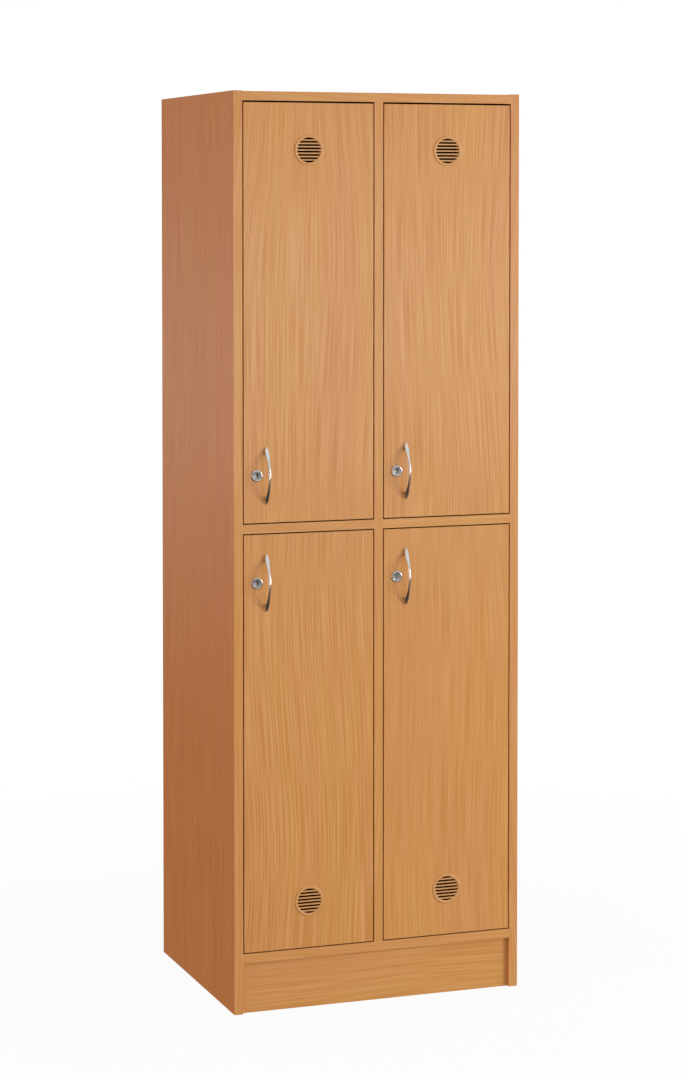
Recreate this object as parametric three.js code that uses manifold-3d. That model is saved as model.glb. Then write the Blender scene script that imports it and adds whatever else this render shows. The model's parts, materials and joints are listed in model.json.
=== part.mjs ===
// A four-compartment coin operated locker in laminated board.
// Millimetres, +Z up, the doors face -Y. The origin is on the floor under the middle of the
// overall box, which runs from the handles' bows to the rear edges of the side panels.

import * as THREE from "three";
import { mergeVertices } from "three/addons/utils/BufferGeometryUtils.js";
import Module from "manifold-3d";

const wasm = await Module();
wasm.setup();

// ---- Driving dimensions: carcass -------------------------------------------------------

const WIDTH = 600;
const CARCASS_DEPTH = 490;
const HEIGHT = 1800;
const BOARD = 18; // thickness of every laminated board
const TOP_STEP = 1; // the side panels stand this much above the top panel
const PLINTH_HEIGHT = 100;
const PLINTH_RECESS = 8;
const REAR_PLINTH_INSET = 40;
const SHELF_UNDERSIDE = 941;
const BACK_THICKNESS = 8;
const BACK_INSET = 10; // from the carcass's rear to the back panel's groove
const GROOVE_DEPTH = 8;
const GROOVE_PLAY = 0.3; // on each side of the back panel in its groove

// ---- Driving dimensions: doors and their fittings --------------------------------------

const DOOR_GAP = 2;
const TOP_DOOR_GAP = 3;
const HANDLE_LENGTH = 112;
const HANDLE_PROJECTION = 26;
const HANDLE_THICKNESS = 4.5; // at mid-length
const HANDLE_TIP_THICKNESS = 2.5;
const HANDLE_TIP_STANDOFF = 1.5; // tips clear the door's face by this much
const HANDLE_WAIST = 5.6; // width at mid-length
const HANDLE_LEAF_WIDTH = 7.6; // at the broadest place of each end
const HANDLE_TIP_WIDTH = 1.6;
const HANDLE_WIDEST = 45; // from the middle, where an end is broadest
const HANDLE_NARROW = 20; // from the middle, where the bar reaches its waist
const HANDLE_POST_SPACING = 88; // between the two screw posts' axes
const HANDLE_POST_RADIUS = 3.6;
const HANDLE_X = 46; // from the door's free edge
const BOW_FULLNESS = 1.25; // 1 makes the bow a plain cosine arch, more makes its ends flatter
const BOW_STEPS = 16; // straight pieces in each curve of the bow

const VENT_FROM_END = 92; // grille centre to the door's far end
const VENT_RING_RADIUS = 30;
const VENT_RING_THICKNESS = 1.6;
const VENT_SLOT_CIRCLE = 24.4;
const VENT_SLOTS = 8;
const VENT_PITCH = 6.4;
const VENT_SLOT_HEIGHT = 3.2;
const VENT_SPIGOT_LENGTH = 14;
const VENT_SPIGOT_WALL = 1.2;

const HINGE_FROM_END = 90;
const HINGE_OFFSET = 22; // pivot to the door's hinged edge
const HINGE_DEPTH = BOARD / 2; // pivot behind the door's front face
const CUP_RADIUS = 17.2;
const CUP_DEPTH = 12.7;
const CUP_WALL = 0.8;
const CUP_FLANGE = 1.2;
const CUP_FLANGE_RADIUS = 19.5;
const CUP_WING_LENGTH = 60;
const CUP_WING_WIDTH = 14;
const PIVOT_PIN_RADIUS = 1;
const KNUCKLE_RADIUS = 2.4;
const ARM_THICKNESS = 2;
const ARM_WIDTH = 11;
const ARM_SWEEP_RADIUS = 26.2; // middle of the arm's bend around the door's edge
const ARM_ENTRY_ANGLE = 142.5; // direction in which the arm leaves the cup, degrees
const ARM_EXIT_ANGLE = 40; // where the bend turns back along the wall, degrees
const ARM_LENGTH = 80; // pivot to the arm's rear end
const PLATE_START = 34;
const PLATE_LENGTH = 50;
const PLATE_HEIGHT = 18;

const FIT_GAP = 0.3; // between a fitting and the bore that it sits in

// ---- Driving dimensions: lock ----------------------------------------------------------

const LOCK_X = 27; // plug axis from the door's free edge
const UPPER_LOCK_FROM_SHELF = 92.5; // plug axis and handle centre to the door's edge by the shelf
const LOWER_LOCK_FROM_SHELF = 95;
const ROSETTE_RADIUS = 11.4;
const ROSETTE_THICKNESS = 2.6;
const ROSETTE_CHAMFER = 0.8;
const HOUSING_RADIUS = 9.5;
const HOUSING_REACH = 6; // behind the door's inner face
const PLUG_RADIUS = 8;
const PLUG_PLAY = 0.3;
const PLUG_SUNK = 0.4; // plug's face below the rosette's
const COLLAR_RADIUS = 7;
const COLLAR_LENGTH = 5;
const COLLAR_CLEARANCE = 0.5; // behind the housing's rear end
const KEYWAY_WIDTH = 2.2;
const KEYWAY_HEIGHT = 9;
const KEYWAY_DEPTH = 12;
const GEAR_MODULE = 1;
const PINION_TEETH = 8;
const PRESSURE_ANGLE = (20 * Math.PI) / 180;
const PINION_TOOTH = 1.25; // tooth thickness on the pitch circle
const RACK_TOOTH = 1.2; // tooth thickness on the pitch line
const PINION_FACE = 7.5;
const PINION_TIP = 4.85;
const PINION_ROOT = 2.8;
const JOURNAL_LENGTH = 3;
const RACK_ADDENDUM = 0.8;
const RACK_DEDENDUM = 1.3;
const RACK_TEETH = 7;
const BOLT_THICKNESS = 6.5;
const BOLT_DEPTH_BELOW_PITCH = 9; // underside of the bolt below the pitch line
const BOLT_HEAD_LENGTH = 15;
const BOLT_HEAD_TOP = -1; // top of the bolt's head from the plug axis
const BOLT_TAIL = 23; // right end of the bolt from the plug axis
const MORTISE_DEPTH = 9;
const MORTISE_PLAY = 1;

const CASE_LEFT = -24; // case edges from the plug axis
const CASE_BOTTOM = -38.5;
const CASE_WIDTH = 84;
const CASE_HEIGHT = 82;
const CASE_DEPTH = 27;
const CASE_WALL = 2;
const COIN_SLOT_X = 42; // coin slot from the plug axis
const COIN_SLOT_WIDTH = 3;
const COIN_SLOT_HEIGHT = 27;
const COIN_SLOT_BOTTOM = 13.5;
const CHANNEL_WIDTH = 4.4;
const CHANNEL_WALL = 1.5;
const CUP_POCKET_LEFT = 30;
const CUP_POCKET_WIDTH = 24;
const CUP_POCKET_BOTTOM = -34;
const CUP_POCKET_HEIGHT = 22;
const CUP_POCKET_DEPTH = 16;

const LEVER_PIVOT_X = 22; // from the plug axis
const LEVER_PIVOT_Z = 12;
const LEVER_THICKNESS = 3.4;
const LEVER_BAR = 3;
const LEVER_HUB_RADIUS = 4.5;
const LEVER_PIN_RADIUS = 2;
const LEVER_PIN_OVERHANG = 0.6; // past the lever's front face
const LEVER_NOSE_WIDTH = 3;
const LEVER_NOSE_GAP = 0.8; // above the plug's collar at rest
const LEVER_TAIL_LENGTH = 24;
const NOTCH_WIDTH = 4.4;
const NOTCH_DEPTH = 2.5;

// ---- Places worked out from the driving dimensions -------------------------------------

const FRONT = -(CARCASS_DEPTH - HANDLE_PROJECTION) / 2; // the doors' front faces
const REAR = FRONT + CARCASS_DEPTH;
const INNER_X = WIDTH / 2 - BOARD;
const TOP_Z = HEIGHT - TOP_STEP;
const TOP_UNDERSIDE = TOP_Z - BOARD;
const BOTTOM_TOP = PLINTH_HEIGHT + BOARD;
const GROOVE_REAR = REAR - BACK_INSET;
const GROOVE_FRONT = GROOVE_REAR - BACK_THICKNESS - 2 * GROOVE_PLAY;

const DOOR_WIDTH = INNER_X - BOARD / 2 - 2 * DOOR_GAP;
const LOWER_DOOR_BOTTOM = BOTTOM_TOP + DOOR_GAP;
const LOWER_DOOR_TOP = SHELF_UNDERSIDE - DOOR_GAP;
const UPPER_DOOR_BOTTOM = SHELF_UNDERSIDE + BOARD + DOOR_GAP;
const UPPER_DOOR_TOP = TOP_UNDERSIDE - TOP_DOOR_GAP;

const PITCH_RADIUS = (GEAR_MODULE * PINION_TEETH) / 2;
const PITCH = Math.PI * GEAR_MODULE;
const COLLAR_START = BOARD + HOUSING_REACH + COLLAR_CLEARANCE;
const PINION_START = COLLAR_START + COLLAR_LENGTH;
const PINION_END = PINION_START + PINION_FACE;
const BOLT_FRONT = PINION_START + (PINION_FACE - BOLT_THICKNESS) / 2;
const BOLT_BOTTOM = -PITCH_RADIUS - BOLT_DEPTH_BELOW_PITCH;
const LEVER_FRONT = COLLAR_START + (COLLAR_LENGTH - LEVER_THICKNESS) / 2;

const CUT = 1; // how far a cutting solid runs past the face that it opens
const ROUND_SIDES = 24; // sides of a round piece
const SMALL_ROUND_SIDES = 10; // sides of a pin or a small bore
const ARC_STEPS = 8; // straight pieces in an extruded arc
const POST_SIDES = 16;

// ---- Materials -------------------------------------------------------------------------

const beech = new THREE.MeshStandardMaterial({ color: 0xcc9763, roughness: 0.5 });
const beechPlastic = new THREE.MeshStandardMaterial({ color: 0xc8935f, roughness: 0.45 });
const satinNickel = new THREE.MeshStandardMaterial({ color: 0xb9b9b6, roughness: 0.3, metalness: 1 });
const chrome = new THREE.MeshStandardMaterial({ color: 0xd8d9dc, roughness: 0.12, metalness: 1 });
const plugSteel = new THREE.MeshStandardMaterial({ color: 0x9a9a98, roughness: 0.35, metalness: 1 });
const casePlastic = new THREE.MeshStandardMaterial({ color: 0x2b2b2d, roughness: 0.55 });
const hingeSteel = new THREE.MeshStandardMaterial({ color: 0xc4c5c6, roughness: 0.28, metalness: 1 });
const zincBolt = new THREE.MeshStandardMaterial({ color: 0xa9abab, roughness: 0.4, metalness: 1 });

// ---- Shapes ----------------------------------------------------------------------------

function box([x0, y0, z0], [x1, y1, z1]) {
  const geometry = new THREE.BoxGeometry(x1 - x0, y1 - y0, z1 - z0);
  return geometry.translate((x0 + x1) / 2, (y0 + y1) / 2, (z0 + z1) / 2);
}

/** A round bar along Y, with its axis at (x, z). */
function barAlongY(radius, y0, y1, x = 0, z = 0, sides = ROUND_SIDES) {
  const geometry = new THREE.CylinderGeometry(radius, radius, y1 - y0, sides);
  return geometry.translate(x, (y0 + y1) / 2, z);
}

/** A thin round bar along Z, with its axis at (x, y). */
function barAlongZ(radius, z0, z1, x = 0, y = 0) {
  const geometry = new THREE.CylinderGeometry(radius, radius, z1 - z0, SMALL_ROUND_SIDES);
  return geometry.rotateX(Math.PI / 2).translate(x, y, (z0 + z1) / 2);
}

function outline(points) {
  return new THREE.Shape(points.map(([a, b]) => new THREE.Vector2(a, b)));
}

function extrude(shape, depth, curveSegments = ARC_STEPS) {
  return new THREE.ExtrudeGeometry(shape, { depth, curveSegments, bevelEnabled: false });
}

/** A shape drawn in X and Y, running from z0 to z1. */
function prismAlongZ(shape, z0, z1) {
  return extrude(shape, z1 - z0).translate(0, 0, z0);
}

/** A shape drawn in X and Z, running from y0 to y1. */
function prismAlongY(shape, y0, y1, curveSegments) {
  return extrude(shape, y1 - y0, curveSegments).rotateX(Math.PI / 2).translate(0, y1, 0);
}

/** A shape drawn in Y and Z, running from x0 to x1. */
function prismAlongX(shape, x0, x1) {
  const turn = new THREE.Matrix4().makeBasis(
    new THREE.Vector3(0, 1, 0),
    new THREE.Vector3(0, 0, 1),
    new THREE.Vector3(1, 0, 0),
  );
  return extrude(shape, x1 - x0).applyMatrix4(turn).translate(x0, 0, 0);
}

/** A turned piece around the Y axis; the profile's points are [radius, y]. */
function turned(profile) {
  const points = profile.map(([radius, y]) => new THREE.Vector2(radius, y));
  return new THREE.LatheGeometry(points, ROUND_SIDES);
}

// ---- Joining and cutting ---------------------------------------------------------------

function toSolid(geometry) {
  const bare = geometry.clone();
  bare.deleteAttribute("normal");
  bare.deleteAttribute("uv");
  const merged = mergeVertices(bare);
  const mesh = new wasm.Mesh({
    numProp: 3,
    vertProperties: new Float32Array(merged.attributes.position.array),
    triVerts: new Uint32Array(merged.index.array),
  });
  return new wasm.Manifold(mesh);
}

function toGeometry(solid) {
  const mesh = solid.getMesh();
  const geometry = new THREE.BufferGeometry();
  geometry.setAttribute("position", new THREE.BufferAttribute(mesh.vertProperties, 3));
  geometry.setIndex(new THREE.BufferAttribute(mesh.triVerts, 1));
  return geometry;
}

/** The first geometry joined with the others. */
function joined(...pieces) {
  const solids = pieces.map(toSolid);
  return toGeometry(solids.reduce((whole, piece) => whole.add(piece)));
}

/** A geometry with the others cut out of it. */
function cut(piece, ...tools) {
  const solids = tools.map(toSolid);
  return toGeometry(solids.reduce((whole, tool) => whole.subtract(tool), toSolid(piece)));
}

/** What two geometries have in common. */
function common(a, b) {
  return toGeometry(toSolid(a).intersect(toSolid(b)));
}

function addPiece(group, name, geometry, material) {
  const mesh = new THREE.Mesh(geometry, material);
  mesh.name = name;
  group.add(mesh);
}

// ---- Carcass ---------------------------------------------------------------------------

/** The hole that a door's bolt shoots into, cut into a wall to the door's left. */
function mortise(wallX, lockZ) {
  const y0 = FRONT + BOLT_FRONT - MORTISE_PLAY;
  const y1 = FRONT + BOLT_FRONT + BOLT_THICKNESS + MORTISE_PLAY;
  const z0 = lockZ + BOLT_BOTTOM - MORTISE_PLAY;
  const z1 = lockZ + BOLT_HEAD_TOP + MORTISE_PLAY;
  return box([wallX - MORTISE_DEPTH, y0, z0], [wallX + CUT, y1, z1]);
}

/** A side panel with a stopped groove for the back panel; side is -1 or 1. */
function sidePanel(side, ...holes) {
  const outer = (side * WIDTH) / 2;
  const inner = side * INNER_X;
  const grooveEnd = side * (INNER_X + GROOVE_DEPTH);
  const groove = box(
    [Math.min(inner - side * CUT, grooveEnd), GROOVE_FRONT, BOTTOM_TOP - GROOVE_DEPTH],
    [Math.max(inner - side * CUT, grooveEnd), GROOVE_REAR, TOP_UNDERSIDE + GROOVE_DEPTH],
  );
  const board = box([Math.min(outer, inner), FRONT, 0], [Math.max(outer, inner), REAR, HEIGHT]);
  return cut(board, groove, ...holes);
}

/** A panel across the carcass with the back panel's groove; inward is -1 below or 1 above. */
function crossPanel(z0, inward) {
  const innerZ = inward < 0 ? z0 : z0 + BOARD;
  const outerZ = inward < 0 ? z0 + BOARD : z0;
  const grooved = innerZ - inward * GROOVE_DEPTH;
  const section = [
    [FRONT, outerZ],
    [FRONT, innerZ],
    [GROOVE_FRONT, innerZ],
    [GROOVE_FRONT, grooved],
    [GROOVE_REAR, grooved],
    [GROOVE_REAR, innerZ],
    [REAR, innerZ],
    [REAR, outerZ],
  ];
  return prismAlongX(outline(section), -INNER_X, INNER_X);
}

function backPanel() {
  const reach = GROOVE_DEPTH - GROOVE_PLAY;
  return box(
    [-INNER_X - reach, GROOVE_FRONT + GROOVE_PLAY, BOTTOM_TOP - reach],
    [INNER_X + reach, GROOVE_REAR - GROOVE_PLAY, TOP_UNDERSIDE + reach],
  );
}

function addCarcass(group, lockHeights) {
  const half = BOARD / 2;
  const leftMortises = lockHeights.map((z) => mortise(-INNER_X, z));
  const middleMortises = lockHeights.map((z) => mortise(half, z));
  const partition = box([-half, FRONT, BOTTOM_TOP], [half, GROOVE_FRONT, TOP_UNDERSIDE]);
  const shelfTop = SHELF_UNDERSIDE + BOARD;
  const plinthFront = FRONT + PLINTH_RECESS;
  const rearPlinth = REAR - REAR_PLINTH_INSET;

  addPiece(group, "side_panel_left", sidePanel(-1, ...leftMortises), beech);
  addPiece(group, "side_panel_right", sidePanel(1), beech);
  addPiece(group, "top_panel", crossPanel(TOP_UNDERSIDE, -1), beech);
  addPiece(group, "bottom_panel", crossPanel(PLINTH_HEIGHT, 1), beech);
  addPiece(group, "centre_partition", cut(partition, ...middleMortises), beech);
  addPiece(
    group,
    "shelf_left",
    box([-INNER_X, FRONT, SHELF_UNDERSIDE], [-half, GROOVE_FRONT, shelfTop]),
    beech,
  );
  addPiece(
    group,
    "shelf_right",
    box([half, FRONT, SHELF_UNDERSIDE], [INNER_X, GROOVE_FRONT, shelfTop]),
    beech,
  );
  addPiece(group, "back_panel", backPanel(), beech);
  addPiece(
    group,
    "plinth_board",
    box([-INNER_X, plinthFront, 0], [INNER_X, plinthFront + BOARD, PLINTH_HEIGHT]),
    beech,
  );
  addPiece(
    group,
    "plinth_rear_board",
    box([-INNER_X, rearPlinth - BOARD, 0], [INNER_X, rearPlinth, PLINTH_HEIGHT]),
    beech,
  );
}

// ---- Hinges: drawn with the pivot at the origin, the wall on the right ------------------

/** The arm from the pivot, round the door's edge and back along the wall, with its plate. */
function hingeArm() {
  const wallX = HINGE_OFFSET + DOOR_GAP;
  const half = ARM_THICKNESS / 2;
  const entry = THREE.MathUtils.degToRad(ARM_ENTRY_ANGLE);
  const exit = THREE.MathUtils.degToRad(ARM_EXIT_ANGLE);
  const inner = ARM_SWEEP_RADIUS - half;
  const outer = ARM_SWEEP_RADIUS + half;
  const z = ARM_WIDTH / 2;

  const neck = box([0, -half, -z], [outer, half, z]).rotateZ(entry);
  const bend = new THREE.Shape();
  bend.absarc(0, 0, outer, exit, entry, false);
  bend.absarc(0, 0, inner, entry, exit, true);
  const spineX = ARM_SWEEP_RADIUS * Math.cos(exit);
  const spineY = ARM_SWEEP_RADIUS * Math.sin(exit);
  const spine = box([spineX - half, spineY - half, -z], [spineX + half, ARM_LENGTH, z]);
  const plate = box(
    [spineX, PLATE_START, -PLATE_HEIGHT / 2],
    [wallX, PLATE_START + PLATE_LENGTH, PLATE_HEIGHT / 2],
  );
  const arm = joined(
    neck,
    prismAlongZ(bend, -z, z),
    spine,
    plate,
    barAlongZ(KNUCKLE_RADIUS, -z, z),
  );
  return cut(arm, barAlongZ(PIVOT_PIN_RADIUS + FIT_GAP, -z - CUT, z + CUT));
}

/** The cup in the door's inner face, with its fixing wings and the pivot pin across it. */
function hingeCup() {
  const face = BOARD - HINGE_DEPTH;
  const floor = face - CUP_DEPTH;
  const flange = face + CUP_FLANGE;
  const wing = CUP_WING_WIDTH / 2;
  const body = joined(
    barAlongY(CUP_RADIUS, floor, flange),
    barAlongY(CUP_FLANGE_RADIUS, face, flange),
    box([-wing, face, -CUP_WING_LENGTH / 2], [wing, flange, CUP_WING_LENGTH / 2]),
  );
  const bore = CUP_RADIUS - CUP_WALL;
  const hollow = cut(body, barAlongY(bore, floor + CUP_WALL, flange + CUT));
  const pinHalf = bore + CUP_WALL / 2;
  return joined(hollow, barAlongZ(PIVOT_PIN_RADIUS, -pinHalf, pinHalf));
}

// ---- Door fittings: drawn in the door's frame, front face at y = 0 -----------------------

/** The door's board, with its bores for the grille, the lock and the hinge cups. */
function doorPanel(height, ventZ, lockZ, hingeHeights) {
  const ventBore = VENT_SLOT_CIRCLE + VENT_SPIGOT_WALL + 2 * FIT_GAP;
  const lockBore = HOUSING_RADIUS + FIT_GAP;
  const cupBore = CUP_RADIUS + FIT_GAP;
  const cupFloor = BOARD - CUP_DEPTH - FIT_GAP;
  const cupX = DOOR_WIDTH - HINGE_OFFSET;
  return cut(
    box([0, 0, 0], [DOOR_WIDTH, BOARD, height]),
    barAlongY(ventBore, -CUT, BOARD + CUT, DOOR_WIDTH / 2, ventZ),
    barAlongY(lockBore, -CUT, BOARD + CUT, LOCK_X, lockZ),
    ...hingeHeights.map((z) => barAlongY(cupBore, cupFloor, BOARD + CUT, cupX, z)),
  );
}

/** A round grille with level slots and a spigot that presses into the door. */
function ventGrille() {
  const ring = new THREE.Shape();
  ring.absarc(0, 0, VENT_RING_RADIUS, 0, 2 * Math.PI);
  for (let i = 0; i < VENT_SLOTS; i += 1) {
    const z = (i - (VENT_SLOTS - 1) / 2) * VENT_PITCH;
    const farEdge = Math.abs(z) + VENT_SLOT_HEIGHT / 2;
    const halfLength = Math.sqrt(VENT_SLOT_CIRCLE ** 2 - farEdge ** 2);
    const low = z - VENT_SLOT_HEIGHT / 2;
    const high = z + VENT_SLOT_HEIGHT / 2;
    const slot = [
      [-halfLength, low],
      [-halfLength, high],
      [halfLength, high],
      [halfLength, low],
    ];
    ring.holes.push(outline(slot));
  }
  const inner = VENT_SLOT_CIRCLE + FIT_GAP;
  const outer = inner + VENT_SPIGOT_WALL;
  const root = -VENT_RING_THICKNESS / 2;
  const spigot = turned([
    [inner, root],
    [outer, root],
    [outer, VENT_SPIGOT_LENGTH],
    [inner, VENT_SPIGOT_LENGTH],
    [inner, root],
  ]);
  return joined(prismAlongY(ring, -VENT_RING_THICKNESS, 0, ROUND_SIDES / 2), spigot);
}

/** How far the bow rises at height z: most at mid-length, flattening out towards the tips. */
function bowHeight(z, halfSpan, rise) {
  return rise * Math.cos((Math.PI * z) / (2 * halfSpan)) ** BOW_FULLNESS;
}

/** The points of one curve of the bow, whose ends stand out by base; direction is 1 or -1. */
function bowPoints(rise, base, direction) {
  const halfSpan = HANDLE_LENGTH / 2;
  return Array.from({ length: BOW_STEPS + 1 }, (_, i) => {
    const z = direction * halfSpan * (1 - (2 * i) / BOW_STEPS);
    return [-base - bowHeight(z, halfSpan, rise), z];
  });
}

/** The bar seen from the front: leaf-shaped ends with a narrower waist between them. */
function handleFrontOutline() {
  const half = HANDLE_LENGTH / 2;
  const upper = [
    [HANDLE_TIP_WIDTH / 2, half + CUT],
    [HANDLE_TIP_WIDTH / 2, half],
    [HANDLE_LEAF_WIDTH / 2, HANDLE_WIDEST],
    [HANDLE_WAIST / 2, HANDLE_NARROW],
  ];
  const lower = upper.map(([x, z]) => [x, -z]).reverse();
  const right = [...upper, ...lower];
  const left = right.map(([x, z]) => [-x, z]).reverse();
  return outline([...right, ...left]);
}

/** The arched handle: a bow whose pointed ends overhang the two posts that meet the door. */
function handle() {
  const half = HANDLE_LENGTH / 2;
  const side = HANDLE_LEAF_WIDTH;
  const outerBase = HANDLE_TIP_STANDOFF + HANDLE_TIP_THICKNESS;
  const innerRise = HANDLE_PROJECTION - HANDLE_THICKNESS - HANDLE_TIP_STANDOFF;
  const outerCurve = bowPoints(HANDLE_PROJECTION - outerBase, outerBase, 1);
  const innerCurve = bowPoints(innerRise, HANDLE_TIP_STANDOFF, -1);
  const bow = prismAlongX(outline([...outerCurve, ...innerCurve]), -side, side);
  const bar = common(bow, prismAlongY(handleFrontOutline(), -HANDLE_PROJECTION - CUT, CUT));
  const underBow = prismAlongX(outline([...outerCurve, [0, -half], [0, half]]), -side, side);
  const posts = [-1, 1].map((end) => {
    const z = (end * HANDLE_POST_SPACING) / 2;
    return barAlongY(HANDLE_POST_RADIUS, -HANDLE_PROJECTION, 0, 0, z, POST_SIDES);
  });
  return joined(bar, ...posts.map((post) => common(post, underBow)));
}

// ---- Lock: drawn with the plug axis at x = z = 0, the door's front face at y = 0 ----------

function lockCylinder() {
  const bore = PLUG_RADIUS + PLUG_PLAY;
  const rear = BOARD + HOUSING_REACH;
  return turned([
    [bore, -ROSETTE_THICKNESS],
    [ROSETTE_RADIUS - ROSETTE_CHAMFER, -ROSETTE_THICKNESS],
    [ROSETTE_RADIUS, -ROSETTE_THICKNESS + ROSETTE_CHAMFER],
    [ROSETTE_RADIUS, 0],
    [HOUSING_RADIUS, 0],
    [HOUSING_RADIUS, rear],
    [bore, rear],
    [bore, -ROSETTE_THICKNESS],
  ]);
}

/** Half the angle that a pinion tooth takes up at a radius, from its involute flanks. */
function toothHalfAngle(radius) {
  const base = PITCH_RADIUS * Math.cos(PRESSURE_ANGLE);
  const involute = (angle) => Math.tan(angle) - angle;
  const here = Math.acos(Math.min(1, base / radius));
  return PINION_TOOTH / (2 * PITCH_RADIUS) + involute(PRESSURE_ANGLE) - involute(here);
}

/** The pinion's outline, with one tooth pointing straight down. */
function pinionOutline() {
  const base = PITCH_RADIUS * Math.cos(PRESSURE_ANGLE);
  const radii = [PINION_ROOT, base, PITCH_RADIUS, PINION_TIP];
  const points = [];
  for (let tooth = 0; tooth < PINION_TEETH; tooth += 1) {
    const middle = -Math.PI / 2 + (tooth * 2 * Math.PI) / PINION_TEETH;
    const rising = radii.map((r) => [r, middle - toothHalfAngle(r)]);
    const falling = radii.map((r) => [r, middle + toothHalfAngle(r)]).reverse();
    points.push(...rising, ...falling);
  }
  return outline(points.map(([r, angle]) => [r * Math.cos(angle), r * Math.sin(angle)]));
}

/** The turning core: keyway in front, a notched collar, then the pinion that drives the bolt. */
function lockPlug() {
  const front = -ROSETTE_THICKNESS + PLUG_SUNK;
  const keyway = box(
    [-KEYWAY_WIDTH / 2, front - CUT, -KEYWAY_HEIGHT / 2],
    [KEYWAY_WIDTH / 2, front + KEYWAY_DEPTH, KEYWAY_HEIGHT / 2],
  );
  const notchFloor = COLLAR_RADIUS - NOTCH_DEPTH;
  const notches = [-1, 1].map((side) => {
    const z0 = Math.min(side * notchFloor, side * (COLLAR_RADIUS + CUT));
    const z1 = Math.max(side * notchFloor, side * (COLLAR_RADIUS + CUT));
    return box(
      [-NOTCH_WIDTH / 2, COLLAR_START, z0],
      [NOTCH_WIDTH / 2, COLLAR_START + COLLAR_LENGTH + CUT, z1],
    );
  });
  const core = joined(
    barAlongY(PLUG_RADIUS, front, COLLAR_START),
    barAlongY(COLLAR_RADIUS, COLLAR_START - CUT, COLLAR_START + COLLAR_LENGTH),
  );
  return joined(
    cut(core, keyway, ...notches),
    prismAlongY(pinionOutline(), PINION_START - CUT, PINION_END),
    barAlongY(PINION_ROOT - FIT_GAP, PINION_END - CUT, PINION_END + JOURNAL_LENGTH, 0, 0, SMALL_ROUND_SIDES),
  );
}

/** The sliding bolt with its rack under the pinion; a rack gap takes the pinion's low tooth. */
function lockBolt() {
  const root = -PITCH_RADIUS - RACK_DEDENDUM;
  const tip = -PITCH_RADIUS + RACK_ADDENDUM;
  const slope = Math.tan(PRESSURE_ANGLE);
  const halfRoot = RACK_TOOTH / 2 + RACK_DEDENDUM * slope;
  const halfTip = RACK_TOOTH / 2 - RACK_ADDENDUM * slope;
  const points = [
    [CASE_LEFT, BOLT_HEAD_TOP],
    [CASE_LEFT, BOLT_BOTTOM],
    [BOLT_TAIL, BOLT_BOTTOM],
    [BOLT_TAIL, root],
  ];
  for (let tooth = RACK_TEETH - 2; tooth >= -1; tooth -= 1) {
    const middle = (tooth + 0.5) * PITCH;
    points.push([middle + halfRoot, root], [middle + halfTip, tip]);
    points.push([middle - halfTip, tip], [middle - halfRoot, root]);
  }
  const headEnd = CASE_LEFT + BOLT_HEAD_LENGTH;
  points.push([headEnd, root], [headEnd, BOLT_HEAD_TOP]);
  return prismAlongY(outline(points), BOLT_FRONT, BOLT_FRONT + BOLT_THICKNESS);
}

/** The lever that a coin presses down, so that its nose clears the plug's collar. */
function coinLever() {
  const noseTip = COLLAR_RADIUS + LEVER_NOSE_GAP;
  const low = LEVER_PIVOT_Z - LEVER_BAR / 2;
  const high = LEVER_PIVOT_Z + LEVER_BAR / 2;
  const rear = LEVER_FRONT + LEVER_THICKNESS;
  const nose = LEVER_NOSE_WIDTH / 2;
  const tail = LEVER_PIVOT_X + LEVER_TAIL_LENGTH;
  const body = joined(
    box([-nose, LEVER_FRONT, low], [tail, rear, high]),
    box([-nose, LEVER_FRONT, noseTip], [nose, rear, high]),
    barAlongY(LEVER_HUB_RADIUS, LEVER_FRONT, rear, LEVER_PIVOT_X, LEVER_PIVOT_Z),
  );
  const bore = barAlongY(
    LEVER_PIN_RADIUS + FIT_GAP,
    LEVER_FRONT - CUT,
    rear + CUT,
    LEVER_PIVOT_X,
    LEVER_PIVOT_Z,
    SMALL_ROUND_SIDES,
  );
  return cut(body, bore);
}

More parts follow.
